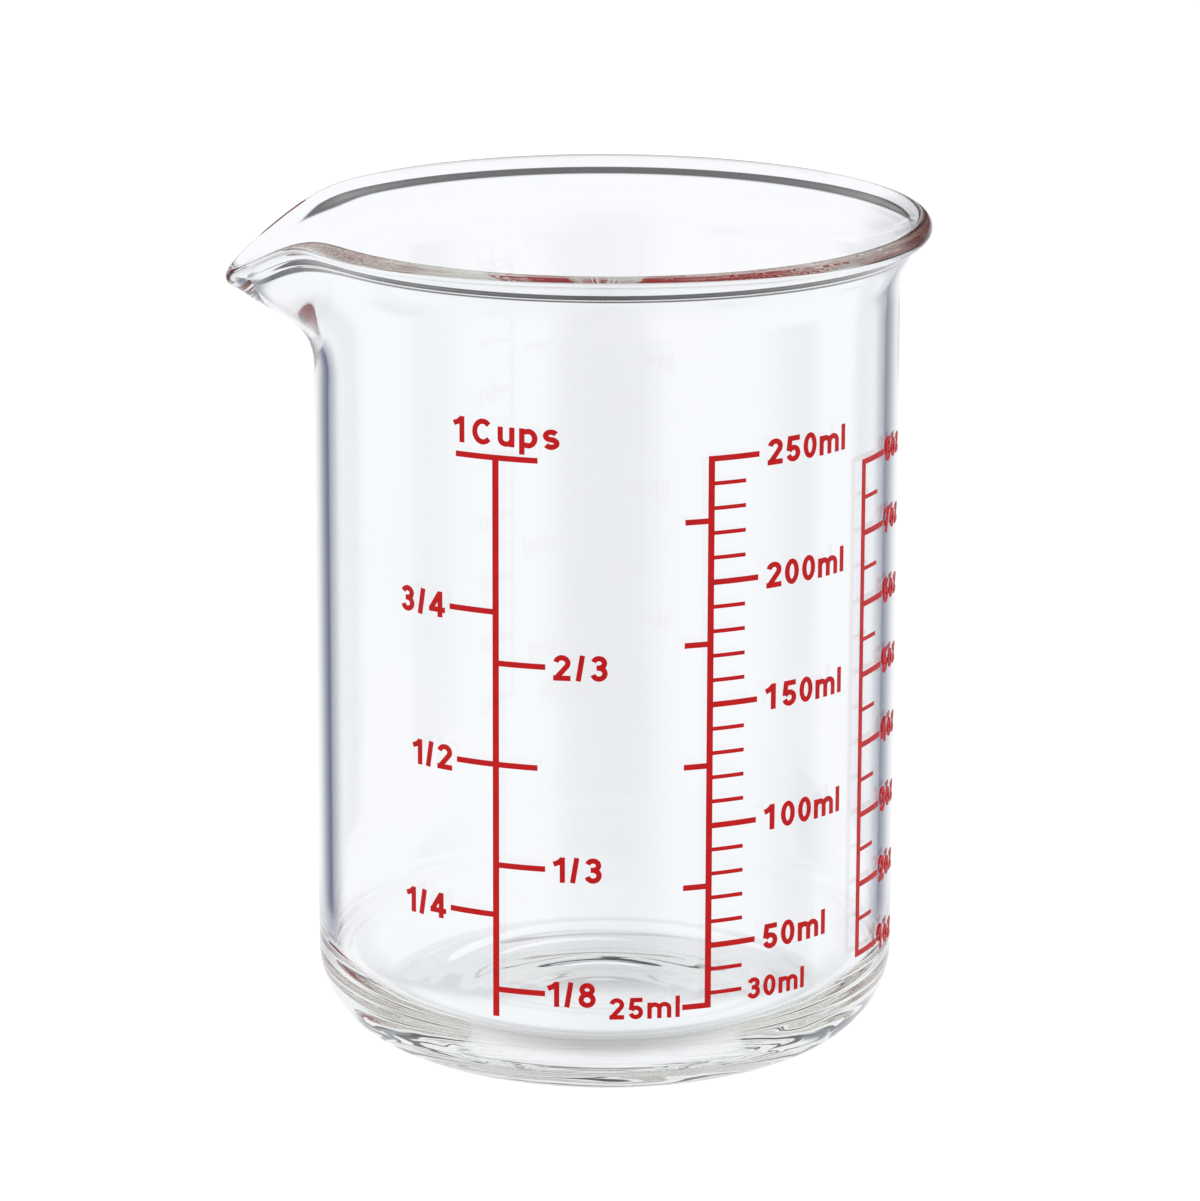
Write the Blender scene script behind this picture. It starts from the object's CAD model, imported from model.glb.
"""Looks of a glass beaker: its blown and tooled vessel, the red enamel of its scales, and the stage.

Every size is in metres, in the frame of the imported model: +Z up, the spout along -X, the scales facing -Y.
"""

import math

import bpy
import numpy as np
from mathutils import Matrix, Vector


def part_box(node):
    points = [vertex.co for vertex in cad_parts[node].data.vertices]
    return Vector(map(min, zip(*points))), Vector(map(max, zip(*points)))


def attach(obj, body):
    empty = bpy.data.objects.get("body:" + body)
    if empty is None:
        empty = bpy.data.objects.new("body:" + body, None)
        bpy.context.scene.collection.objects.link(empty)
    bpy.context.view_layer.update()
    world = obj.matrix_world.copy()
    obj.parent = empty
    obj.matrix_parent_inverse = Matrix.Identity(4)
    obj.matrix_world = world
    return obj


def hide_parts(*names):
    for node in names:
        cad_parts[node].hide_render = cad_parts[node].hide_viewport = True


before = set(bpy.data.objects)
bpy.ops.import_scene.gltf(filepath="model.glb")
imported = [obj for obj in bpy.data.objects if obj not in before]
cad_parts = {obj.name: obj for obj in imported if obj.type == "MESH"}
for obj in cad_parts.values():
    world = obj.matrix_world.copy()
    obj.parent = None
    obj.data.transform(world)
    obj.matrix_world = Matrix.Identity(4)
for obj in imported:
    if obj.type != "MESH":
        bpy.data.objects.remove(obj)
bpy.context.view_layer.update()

bl_info = {
    "name": "Glass Beaker",
    "version": (1, 0, 0),
    "blender": (4, 5, 0),
    "location": "3D View > Sidebar > Beaker",
    "description": "Models the glass of a beaker, finishes its printed scales and sets its stage",
    "category": "Object",
}

MM = 0.001
VESSEL_NODE = "glass_vessel"
PRINT_NODES = sorted(set(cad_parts) - {VESSEL_NODE})
RIM_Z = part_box(VESSEL_NODE)[1].z
BODY = "root"

# How finely the glass is spun, how many steps each stretch of its section takes, and how close vertices merge
TURNS = 360
HOLLOW_STEPS = 30
RING_STEPS = 4
CORNER_STEPS = 26
WALL_STEPS = 14
DRAWN_STEPS = 14
FLARE_STEPS = 14
BEAD_STEPS = 26
FLOOR_STEPS = 44
MERGE = 1e-6

# How late in the flare the wall thickens into the bead: a higher power is later
FLARE_THICKENING = 5

# The marks of blowing in the floor. Distances from the axis are in millimetres, and a pair is where a mark
# fades in or out. A pace is in radians per millimetre. A lean or a phase is in radians, and takes a mark off a
# true ring.
FLOOR_REACH = 26.0
FLOOR_SLACK = 0.01 * MM
DOME_REACH = 13.0
RING_HEIGHT = 0.018 * MM
RING_PACE = 1.9
RING_LEAN = 0.5
RING_IN = (4.0, 9.0)
RING_OUT = (14.0, 20.0)
SWIRL_HEIGHT = 0.07 * MM
SWIRL_PACE = 1.25
SWIRL_LEAN = 1.6
SWIRL_PHASE = 0.6
SWIRL_IN = (15.0, 19.0)
SWIRL_OUT = (22.5, 25.5)
SWELL_MEAN = 0.55
SWELL_RANGE = 0.45
SWELL_PHASE = 1.1

# The tent of lit cloth. Directions and slopes are in degrees, a pair is where a change starts and ends, and a
# depth is the share of light taken away. A lane is the direction it looks in, its lowest and highest slope,
# and the depths of the dark flags that stand to its left and right.
TENT_LIGHT = "light"
TENT_SEGMENTS = 360
TENT_RINGS = 180
TENT_BRIGHT = 0.99
TENT_DIM = 0.22
TENT_TINT = (0.98, 0.985, 1.01)
BEHIND_EDGE = (152.0, 172.0)
BEHIND_TOP = (0.0, 30.0)
VIEW_LANES = (
    (0.0, -19.0, 3.0, 0.85, 0.72),
    (135.0, -21.0, -7.0, 0.8, 0.8),
    (-45.0, -34.0, -24.0, 0.8, 0.0),
    (-90.0, -6.0, 3.0, 0.8, 0.8),
)
LANE_EDGE = 1.0
FLAG_TINT = (1.03, 1.0, 0.91)
FLAG_IN = (12.0, 35.0)
FLAG_OUT = (41.0, 52.0)
CANOPY_DEPTH = 0.93
CANOPY_EDGE = (1.5, 3.5)
CANOPY_TOP = (18.0, 28.0)
CANOPY_SIDES = (40.0, 60.0)
GROUND_DEPTH = 0.50
GROUND_EDGE = (-72.0, -34.0)

# The rest of the stage
BOARD_WHITES = ((0.90, 0.90, 0.90), (0.92, 0.92, 0.92))
ROOM_LIGHT = (1.2, 1.2, 1.2, 1.0)
SOFTBOX_SIZE = (1.2, 1.2)
SOFTBOX_WATTS = 3.0
SOFTBOX_PLACE = (0.0, 0.25, 1.1)


# ---------------------------------------------------------------- settings

class BeakerGlassSizes(bpy.types.PropertyGroup):
    """Sizes of the glass vessel."""

    rim_height: bpy.props.FloatProperty(
        name="Rim height", description="Height of the top of the rim above the bench",
        default=RIM_Z, unit="LENGTH")
    body_radius: bpy.props.FloatProperty(
        name="Body radius", description="Outside radius of the straight wall",
        default=34.7 * MM, unit="LENGTH")
    print_sunk: bpy.props.FloatProperty(
        name="Print sunk", description="How deep the fired print is sunk into the glass",
        default=0.03 * MM, unit="LENGTH")
    wall: bpy.props.FloatProperty(
        name="Wall", description="Thickness of the wall",
        default=1.6 * MM, unit="LENGTH")
    floor: bpy.props.FloatProperty(
        name="Floor", description="Thickness of the floor inside the foot ring",
        default=4.4 * MM, unit="LENGTH")
    dome: bpy.props.FloatProperty(
        name="Dome", description="How far the middle of the floor rises above its edge",
        default=0.45 * MM, unit="LENGTH")
    foot_round: bpy.props.FloatProperty(
        name="Foot corner", description="Outside radius of the corner between the wall and the foot",
        default=10.4 * MM, unit="LENGTH")
    ring_width: bpy.props.FloatProperty(
        name="Foot ring", description="Width of the flat ring that the beaker stands on",
        default=1.8 * MM, unit="LENGTH")
    hollow: bpy.props.FloatProperty(
        name="Hollow", description="Height of the hollow inside the foot ring",
        default=1.2 * MM, unit="LENGTH")
    bead_radius: bpy.props.FloatProperty(
        name="Bead radius", description="Radius of the rolled bead along the rim",
        default=1.2 * MM, unit="LENGTH")
    flare_out: bpy.props.FloatProperty(
        name="Flare", description="How far the wall's middle leans out from the body to the bead",
        default=3.3 * MM, unit="LENGTH")
    flare_round: bpy.props.FloatProperty(
        name="Flare radius", description="Radius of the arc that carries the wall out to the bead",
        default=11 * MM, unit="LENGTH")
    spout_out: bpy.props.FloatProperty(
        name="Spout reach", description="How far the spout is pulled out past the round rim",
        default=6.7 * MM, unit="LENGTH")
    spout_drop: bpy.props.FloatProperty(
        name="Spout drop", description="How far the spout's lip is pulled down",
        default=6.5 * MM, unit="LENGTH")
    spout_height: bpy.props.FloatProperty(
        name="Spout height", description="Height of the wall below the bead that the spout draws in",
        default=17.8 * MM, unit="LENGTH")
    spout_half_angle: bpy.props.FloatProperty(
        name="Spout half angle", description="Half the angle of rim that the spout draws in",
        default=math.radians(42), subtype="ANGLE")
    spout_round_power: bpy.props.FloatProperty(
        name="Spout fade round", description="How quickly the spout fades out round the rim",
        default=5.2)
    spout_down_power: bpy.props.FloatProperty(
        name="Spout fade down", description="How quickly the spout fades out down the wall",
        default=2.5)


class BeakerFinishes(bpy.types.PropertyGroup):
    """Colours and finishes of the glass and the print."""

    glass_clear: bpy.props.FloatVectorProperty(
        name="Glass", description="Tint of the clearest glass",
        default=(1.0, 1.0, 1.0), subtype="COLOR")
    glass_tinted: bpy.props.FloatVectorProperty(
        name="Glass, tinted", description="Tint of the glass where it is drawn thickest",
        default=(0.97, 0.985, 0.985), subtype="COLOR")
    glass_deep: bpy.props.FloatVectorProperty(
        name="Glass, deep", description="Colour that light takes on along the inside of the wall",
        default=(0.55, 0.58, 0.46), subtype="COLOR")
    glass_density: bpy.props.FloatProperty(
        name="Depth of colour", description="How quickly the glass colours light that runs inside it",
        default=3.5)
    glass_ior: bpy.props.FloatProperty(
        name="Refraction", description="Index of refraction of the glass",
        default=1.473)
    enamel: bpy.props.FloatVectorProperty(
        name="Enamel", description="Colour of the fired print",
        default=(0.40, 0.0, 0.001), subtype="COLOR")
    enamel_thin: bpy.props.FloatVectorProperty(
        name="Enamel, thin", description="Colour of the print where the screen laid it thinly",
        default=(0.46, 0.001, 0.003), subtype="COLOR")


class BeakerStage(bpy.types.PropertyGroup):
    """Floor, light and camera."""

    floor_size: bpy.props.FloatProperty(
        name="Floor", description="Size of the floor",
        default=8.0, unit="LENGTH")
    tent_radius: bpy.props.FloatProperty(
        name="Tent", description="Radius of the light tent round the set",
        default=2.5, unit="LENGTH")
    light_bounces: bpy.props.IntProperty(
        name="Bounces", description="How often light may bounce on its way down inside the wall",
        default=96)
    camera_distance: bpy.props.FloatProperty(
        name="Camera distance", description="Distance from the beaker's axis to the camera, on the level",
        default=684.1 * MM, unit="LENGTH")
    camera_height: bpy.props.FloatProperty(
        name="Camera height", description="Height of the camera above the bench",
        default=235.0 * MM, unit="LENGTH")
    camera_side: bpy.props.FloatProperty(
        name="Camera side", description="How far the camera stands to the right of the beaker's axis",
        default=-0.694 * MM, unit="LENGTH")
    camera_down: bpy.props.FloatProperty(
        name="Camera tilt", description="How far the camera looks down",
        default=math.radians(14.93), subtype="ANGLE")
    camera_roll: bpy.props.FloatProperty(
        name="Camera roll", description="How far the camera is rolled about its own line of sight",
        default=math.radians(0.17), subtype="ANGLE")
    camera_lens: bpy.props.FloatProperty(
        name="Lens", description="Focal length in millimetres on a 36 mm sensor",
        default=176.85)


# ---------------------------------------------------------------- shader maths

class Wire:
    """A shader socket that takes arithmetic: each operation adds one Math node."""

    def __init__(self, finish, socket):
        self.finish = finish
        self.socket = socket

    def _math(self, operation, *values):
        return self.finish.node("ShaderNodeMath", {"operation": operation}, dict(enumerate(values)))

    def __add__(self, other):
        return self._math("ADD", self, other)

    def __mul__(self, other):
        return self._math("MULTIPLY", self, other)

    __radd__ = __add__
    __rmul__ = __mul__


class Finish:
    """A node material under construction, with one Principled shader."""

    def __init__(self, name):
        self.material = bpy.data.materials.new(name)
        self.material.use_nodes = True
        self.tree = self.material.node_tree
        self.tree.nodes.clear()
        self.shader = self.tree.nodes.new("ShaderNodeBsdfPrincipled")
        self.output = self.tree.nodes.new("ShaderNodeOutputMaterial")
        self.tree.links.new(self.shader.outputs["BSDF"], self.output.inputs["Surface"])

    def plug(self, socket, value):
        """Links a wire to a socket, or sets the socket's own value."""
        if isinstance(value, Wire):
            self.tree.links.new(value.socket, socket)
        else:
            socket.default_value = value

    def node(self, kind, settings=None, inputs=None, output=0):
        """Adds a node with its settings and inputs and returns one of its outputs."""
        made = self.tree.nodes.new(kind)
        for name, value in (settings or {}).items():
            if name == "stops":
                self._set_ramp(made.color_ramp, value)
            else:
                setattr(made, name, value)
        for name, value in (inputs or {}).items():
            self.plug(made.inputs[name], value)
        return Wire(self, made.outputs[output])

    @staticmethod
    def _set_ramp(ramp, stops):
        while len(ramp.elements) < len(stops):
            ramp.elements.new(1.0)
        for element, (place, level) in zip(ramp.elements, stops):
            element.position = place
            element.color = (level, level, level, 1.0)

    def set(self, **values):
        """Sets the shader's own sockets. An underscore stands for a space."""
        for name, value in values.items():
            self.plug(self.shader.inputs[name.replace("_", " ")], value)

    def place(self):
        """Position on the piece, in metres."""
        return self.node("ShaderNodeTexCoord", output="Object")

    def noise(self, place, scale, detail=2.0, distortion=0.0):
        return self.node("ShaderNodeTexNoise", inputs={
            "Vector": place, "Scale": scale, "Detail": detail, "Distortion": distortion}, output="Fac")

    def ramp(self, factor, *stops):
        return self.node("ShaderNodeValToRGB", {"stops": stops}, {"Fac": factor})

    def blend(self, factor, one, other):
        """A colour between two colours."""
        return self.node("ShaderNodeMix", {"data_type": "RGBA"}, {
            "Factor": factor, "A": (*one, 1.0), "B": (*other, 1.0)}, output="Result")

    def bump(self, height, strength, distance):
        return self.node("ShaderNodeBump", inputs={
            "Height": height, "Strength": strength, "Distance": distance}, output="Normal")


# ---------------------------------------------------------------- finishes

def glass_finish(finishes):
    """Clear borosilicate glass: a faint tint that varies, a fire-polished skin and the waves of drawing."""
    glass = Finish("clear_glass")
    place = glass.place()
    drawn = glass.noise(place, scale=30.0, detail=1.0, distortion=0.4)
    glass.set(
        Base_Color=glass.blend(drawn, finishes.glass_clear, finishes.glass_tinted),
        Roughness=glass.ramp(glass.noise(place, scale=90.0), (0.55, 0.0), (0.9, 0.02)),
        Normal=glass.bump(drawn, strength=0.15, distance=0.02 * MM),
        Transmission_Weight=1.0,
        IOR=finishes.glass_ior)
    depth = glass.node("ShaderNodeVolumeAbsorption", inputs={
        "Color": (*finishes.glass_deep, 1.0), "Density": finishes.glass_density}, output="Volume")
    glass.plug(glass.output.inputs["Volume"], depth)
    return glass.material


def enamel_finish(finishes):
    """Red enamel fired on: small differences of thickness, a satin gloss and a fine orange peel."""
    enamel = Finish("red_enamel")
    place = enamel.place()
    thin = enamel.ramp(enamel.noise(place, scale=700.0, detail=3.0), (0.35, 0.0), (0.75, 1.0))
    peel = enamel.noise(place, scale=3000.0)
    enamel.set(
        Base_Color=enamel.blend(thin, finishes.enamel, finishes.enamel_thin),
        Roughness=0.28 + 0.14 * peel,
        Normal=enamel.bump(peel, strength=0.2, distance=0.01 * MM),
        Specular_IOR_Level=0.18,
        IOR=1.5)
    return enamel.material


# ---------------------------------------------------------------- glass

def arc(centre_r, centre_z, radius, start, end, steps):
    """Points along an arc of the section, from one angle to another, without the first."""
    angles = np.linspace(math.radians(start), math.radians(end), steps + 1)[1:]
    return [(centre_r + radius * math.cos(a), centre_z + radius * math.sin(a)) for a in angles]


def straight(start, end, steps):
    """Points along a straight stretch of the section, without the first."""
    shares = np.linspace(0.0, 1.0, steps + 1)[1:]
    return [(start[0] + s * (end[0] - start[0]), start[1] + s * (end[1] - start[1])) for s in shares]


def flare_angle(sizes):
    """How far the flare leans out where it meets the bead."""
    return math.acos(1 - sizes.flare_out / sizes.flare_round)


def flare_side(sizes, side):
    """One side of the flare from the straight wall up to the bead: side is 1 outside and -1 inside."""
    full = flare_angle(sizes)
    middle_r = sizes.body_radius - sizes.wall / 2
    bead_z = sizes.rim_height - sizes.bead_radius
    rise = sizes.flare_round * math.sin(full)
    points = []
    for a in np.linspace(0.0, full, FLARE_STEPS + 1):
        half = sizes.wall / 2 + (sizes.bead_radius - sizes.wall / 2) * (a / full) ** FLARE_THICKENING
        out = sizes.flare_round * (1 - math.cos(a))
        up = bead_z - rise + sizes.flare_round * math.sin(a)
        points.append((middle_r + out + side * half * math.cos(a), up - side * half * math.sin(a)))
    return points


def soft_step(value, start, end):
    """Rises smoothly from 0 to 1 between two values."""
    share = ((value - start) / (end - start)).clip(0.0, 1.0)
    return share * share * (3.0 - 2.0 * share)


def soft_fall(value, start, end):
    """Falls smoothly from 1 to 0 between two values."""
    return 1 - soft_step(value, start, end)


def glass_section(sizes):
    """Half section as (radius, height) points, from the axis below, round the rim, to the axis above."""
    bore = sizes.body_radius - sizes.wall
    corner_r = sizes.body_radius - sizes.foot_round
    inner_round = sizes.foot_round - sizes.wall
    hollow_r = corner_r - sizes.ring_width
    bead_z = sizes.rim_height - sizes.bead_radius
    bead_r = sizes.body_radius - sizes.wall / 2 + sizes.flare_out
    flare_full = math.degrees(flare_angle(sizes))
    outside, inside = flare_side(sizes, 1), flare_side(sizes, -1)
    drawn_z = bead_z - sizes.spout_height

    points = [(r, sizes.hollow * math.cos(r / hollow_r * math.pi / 2) ** 2)
              for r in np.linspace(0.0, hollow_r, HOLLOW_STEPS + 1)]
    points += straight((hollow_r, 0.0), (corner_r, 0.0), RING_STEPS)
    corner = arc(corner_r, sizes.foot_round, sizes.foot_round, -90, 0, CORNER_STEPS)
    points += [(r + sizes.print_sunk * (r - corner_r) / sizes.foot_round, z) for r, z in corner]
    points += straight(points[-1], (points[-1][0], drawn_z), WALL_STEPS)
    points += straight(points[-1], outside[0], DRAWN_STEPS)
    points += outside[1:]
    points += arc(bead_r, bead_z, sizes.bead_radius, -flare_full, 180 - flare_full, BEAD_STEPS)
    points += inside[-2::-1]
    points += straight(points[-1], (bore, drawn_z), DRAWN_STEPS)
    points += straight(points[-1], (bore, sizes.floor + inner_round), WALL_STEPS)
    points += arc(corner_r, sizes.floor + inner_round, inner_round, 0, -90, CORNER_STEPS)
    points += straight(points[-1], (0.0, sizes.floor), FLOOR_STEPS)
    return points


def spin_section(name, points):
    """Draws a section vertex by vertex in the XZ plane and spins it into a closed body round the Z axis."""
    bpy.ops.object.select_all(action="DESELECT")
    first_r, first_z = points[0]
    bpy.ops.mesh.primitive_plane_add(size=MM, location=(first_r, 0.0, first_z))
    body = bpy.context.active_object
    body.name = body.data.name = name
    bpy.ops.object.mode_set(mode="EDIT")
    bpy.ops.mesh.select_mode(type="VERT")
    bpy.ops.mesh.select_all(action="SELECT")
    bpy.ops.mesh.merge(type="CENTER")
    for (r, z), (next_r, next_z) in zip(points, points[1:]):
        bpy.ops.mesh.extrude_vertices_move(TRANSFORM_OT_translate={"value": (next_r - r, 0.0, next_z - z)})
    bpy.ops.mesh.select_all(action="SELECT")
    bpy.ops.mesh.spin(steps=TURNS, angle=math.tau, center=(0.0, 0.0, 0.0), axis=(0.0, 0.0, 1.0))
    bpy.ops.mesh.select_all(action="SELECT")
    bpy.ops.mesh.remove_doubles(threshold=MERGE)
    bpy.ops.mesh.normals_make_consistent(inside=False)
    bpy.ops.object.mode_set(mode="OBJECT")
    bpy.ops.object.transform_apply(location=True, rotation=True, scale=True)
    bpy.ops.object.shade_smooth()
    return body


def vertex_places(body):
    """Places of a mesh's vertices, one row for each."""
    places = np.empty(len(body.data.vertices) * 3)
    body.data.vertices.foreach_get("co", places)
    return places.reshape(-1, 3)


def move_vertices(body, places):
    """Puts a mesh's vertices at new places."""
    body.data.vertices.foreach_set("co", places.ravel())
    body.data.update()


def pull_spout(body, sizes):
    """Draws the spout out and down, fading round the rim and down the wall."""
    x, y, z = vertex_places(body).T
    turn = np.arctan2(-y, -x)
    radius = np.hypot(x, y)
    bead_z = sizes.rim_height - sizes.bead_radius
    round_share = np.clip(np.abs(turn) / sizes.spout_half_angle, 0.0, 1.0)
    down_share = np.clip((bead_z - z) / sizes.spout_height, 0.0, 1.0)
    pull = (np.cos(round_share * math.pi / 2).clip(0.0) ** sizes.spout_round_power
            * np.cos(down_share * math.pi / 2).clip(0.0) ** sizes.spout_down_power)
    pull[radius < sizes.body_radius / 2] = 0.0
    radius = radius + sizes.spout_out * pull
    out_x, out_y = -radius * np.cos(turn), -radius * np.sin(turn)
    move_vertices(body, np.stack([out_x, out_y, z - sizes.spout_drop * pull], axis=1))


def pinch_floor(body, sizes):
    """Leaves the marks of blowing in the floor: a low dome, rings round it and a swirl near the corner."""
    places = vertex_places(body)
    x, y, z = places.T
    radius, turn = np.hypot(x, y) / MM, np.arctan2(y, x)
    inner = (z < sizes.floor + MM) & (z > sizes.floor - FLOOR_SLACK) & (radius < FLOOR_REACH)
    dome = sizes.dome * np.cos((radius / DOME_REACH).clip(0.0, 1.0) * math.pi / 2) ** 2
    rings = RING_HEIGHT * np.cos(radius * RING_PACE + RING_LEAN * np.cos(turn))
    rings = rings * soft_step(radius, *RING_IN) * soft_fall(radius, *RING_OUT)
    swirl = SWIRL_HEIGHT * np.sin(radius * SWIRL_PACE + SWIRL_LEAN * np.sin(turn * 2 + SWIRL_PHASE) + turn)
    swirl = swirl * soft_step(radius, *SWIRL_IN) * soft_fall(radius, *SWIRL_OUT)
    swell = SWELL_MEAN + SWELL_RANGE * np.cos(turn * 2 + SWELL_PHASE)
    places[:, 2] += np.where(inner, dome + rings + swirl * swell, 0.0)
    move_vertices(body, places)


class BEAKER_OT_glass(bpy.types.Operator):
    """Model the glass vessel, with its foot, wall, flare, bead and spout"""

    bl_idname = "beaker.glass"
    bl_label = "Glass Vessel"

    def execute(self, context):
        sizes = context.scene.beaker_sizes
        vessel = spin_section("blown_glass", glass_section(sizes))
        pull_spout(vessel, sizes)
        pinch_floor(vessel, sizes)
        vessel.data.materials.append(glass_finish(context.scene.beaker_finishes))
        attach(vessel, BODY)
        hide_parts(VESSEL_NODE)
        vessel.visible_shadow = vessel.visible_diffuse = False
        return {"FINISHED"}


# ---------------------------------------------------------------- print

class BEAKER_OT_print(bpy.types.Operator):
    """Finish the three scales and their names in fired enamel"""

    bl_idname = "beaker.print"
    bl_label = "Printed Scales"

    def execute(self, context):
        enamel = enamel_finish(context.scene.beaker_finishes)
        for name in PRINT_NODES:
            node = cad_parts[name]
            for slot in node.material_slots:
                slot.material = enamel
        return {"FINISHED"}


# ---------------------------------------------------------------- stage

def floor_finish():
    """Matt white board with a barely visible tooth."""
    board = Finish("white_board")
    tooth = board.noise(board.place(), scale=400.0, detail=3.0)
    board.set(
        Base_Color=board.blend(tooth, *BOARD_WHITES),
        Roughness=0.9)
    return board.material


def tent_finish():
    """Lit cloth: it glows as brightly as the tent's light attribute says."""
    cloth = Finish("lit_cloth")
    cloth.set(
        Base_Color=(0.0, 0.0, 0.0, 1.0),
        Specular_IOR_Level=0.0,
        Roughness=1.0,
        Emission_Color=cloth.node("ShaderNodeAttribute", {"attribute_name": TENT_LIGHT}, output="Color"),
        Emission_Strength=1.0)
    cloth.material.cycles.emission_sampling = "NONE"
    return cloth.material


def tent_light(turn, lift):
    """Colour of the tent in each direction. Turn is 0 straight behind the beaker and grows to the right."""
    behind = soft_step(np.abs(turn), *BEHIND_EDGE)
    level = TENT_BRIGHT + (TENT_DIM - TENT_BRIGHT) * behind * soft_fall(lift, *BEHIND_TOP)
    light = level[:, None] * np.array(TENT_TINT)
    for ahead, low, high, left, right in VIEW_LANES:
        aside = (turn - ahead + 180.0) % 360.0 - 180.0
        depth = np.where(aside < 0.0, left, right)
        aside = np.abs(aside)
        flag = soft_step(aside, *FLAG_IN) * soft_fall(aside, *FLAG_OUT)
        lane = soft_step(lift, low - LANE_EDGE, low + LANE_EDGE)
        lane = lane * soft_fall(lift, high - LANE_EDGE, high + LANE_EDGE)
        light *= 1 - (depth * flag * lane)[:, None] * np.array(FLAG_TINT)
    ground = GROUND_DEPTH * soft_fall(lift, *GROUND_EDGE)
    canopy = CANOPY_DEPTH * soft_step(lift, *CANOPY_EDGE) * soft_fall(lift, *CANOPY_TOP)
    canopy = canopy * soft_fall(np.abs(turn), *CANOPY_SIDES)
    return light * ((1 - ground) * (1 - canopy))[:, None]


def light_tent(radius):
    """A tent of lit cloth all round the set, which only the glass and the gloss of the print see."""
    bpy.ops.object.select_all(action="DESELECT")
    bpy.ops.mesh.primitive_uv_sphere_add(segments=TENT_SEGMENTS, ring_count=TENT_RINGS, radius=radius)
    tent = bpy.context.active_object
    tent.name = tent.data.name = "light_tent"
    x, y, z = vertex_places(tent).T
    turn = np.degrees(np.arctan2(x, y))
    lift = np.degrees(np.arcsin((z / radius).clip(-1, 1)))
    colours = np.ones((len(x), 4))
    colours[:, :3] = tent_light(turn, lift)
    light = tent.data.color_attributes.new(name=TENT_LIGHT, type="FLOAT_COLOR", domain="POINT")
    light.data.foreach_set("color", colours.ravel())
    tent.data.materials.append(tent_finish())
    tent.visible_camera = tent.visible_diffuse = tent.visible_shadow = False


def top_softbox():
    """A soft light that faces down and makes no highlights of its own."""
    light = bpy.data.lights.new("top_softbox", "AREA")
    light.shape = "RECTANGLE"
    light.size, light.size_y = SOFTBOX_SIZE
    light.energy = SOFTBOX_WATTS
    lamp = bpy.data.objects.new("top_softbox", light)
    lamp.location = SOFTBOX_PLACE
    lamp.visible_glossy = lamp.visible_transmission = False
    bpy.context.scene.collection.objects.link(lamp)


class BEAKER_OT_stage(bpy.types.Operator):
    """Set the floor, the soft light and the camera"""

    bl_idname = "beaker.stage"
    bl_label = "Stage"

    def execute(self, context):
        settings = context.scene.beaker_stage
        bpy.ops.object.select_all(action="DESELECT")
        bpy.ops.mesh.primitive_plane_add(size=settings.floor_size, location=(0.0, 0.0, 0.0))
        board = context.active_object
        board.name = "floor"
        board.data.materials.append(floor_finish())
        board.visible_glossy = board.visible_transmission = False

        world = bpy.data.worlds.new("studio")
        world.use_nodes = True
        world.node_tree.nodes["Background"].inputs["Color"].default_value = ROOM_LIGHT
        world.cycles_visibility.glossy = world.cycles_visibility.transmission = False
        context.scene.world = world
        light_tent(settings.tent_radius)
        top_softbox()

        camera = bpy.data.cameras.new("camera")
        camera.lens = settings.camera_lens
        camera.clip_start = 10 * MM
        viewer = bpy.data.objects.new("camera", camera)
        viewer.location = (settings.camera_side, -settings.camera_distance, settings.camera_height)
        viewer.rotation_euler = (math.pi / 2 - settings.camera_down, 0.0, 0.0)
        viewer.rotation_euler.rotate_axis("Z", settings.camera_roll)
        context.scene.collection.objects.link(viewer)
        context.scene.camera = viewer
        context.scene.view_settings.view_transform = "Standard"
        paths = context.scene.cycles
        paths.max_bounces = paths.glossy_bounces = paths.transmission_bounces = settings.light_bounces
        return {"FINISHED"}


# ---------------------------------------------------------------- sidebar

class BEAKER_PT_sidebar(bpy.types.Panel):
    """Lists the beaker's steps and settings in the sidebar of the 3D view"""

    bl_idname = "BEAKER_PT_sidebar"
    bl_label = "Beaker"
    bl_space_type = "VIEW_3D"
    bl_region_type = "UI"
    bl_category = "Beaker"

    def draw(self, context):
        scene = context.scene
        for step in STEPS:
            self.layout.operator(step.bl_idname)
        for group in (scene.beaker_sizes, scene.beaker_finishes, scene.beaker_stage):
            column = self.layout.column(align=True)
            for name in group.__annotations__:
                column.prop(group, name)


STEPS = (BEAKER_OT_glass, BEAKER_OT_print, BEAKER_OT_stage)
CLASSES = (BeakerGlassSizes, BeakerFinishes, BeakerStage, *STEPS, BEAKER_PT_sidebar)


def register():
    for cls in CLASSES:
        bpy.utils.register_class(cls)
    bpy.types.Scene.beaker_sizes = bpy.props.PointerProperty(type=BeakerGlassSizes)
    bpy.types.Scene.beaker_finishes = bpy.props.PointerProperty(type=BeakerFinishes)
    bpy.types.Scene.beaker_stage = bpy.props.PointerProperty(type=BeakerStage)


def unregister():
    del bpy.types.Scene.beaker_stage
    del bpy.types.Scene.beaker_finishes
    del bpy.types.Scene.beaker_sizes
    for cls in reversed(CLASSES):
        bpy.utils.unregister_class(cls)


def main():
    register()
    bpy.ops.beaker.glass()
    bpy.ops.beaker.print()
    bpy.ops.beaker.stage()


if __name__ == "__main__":
    main()
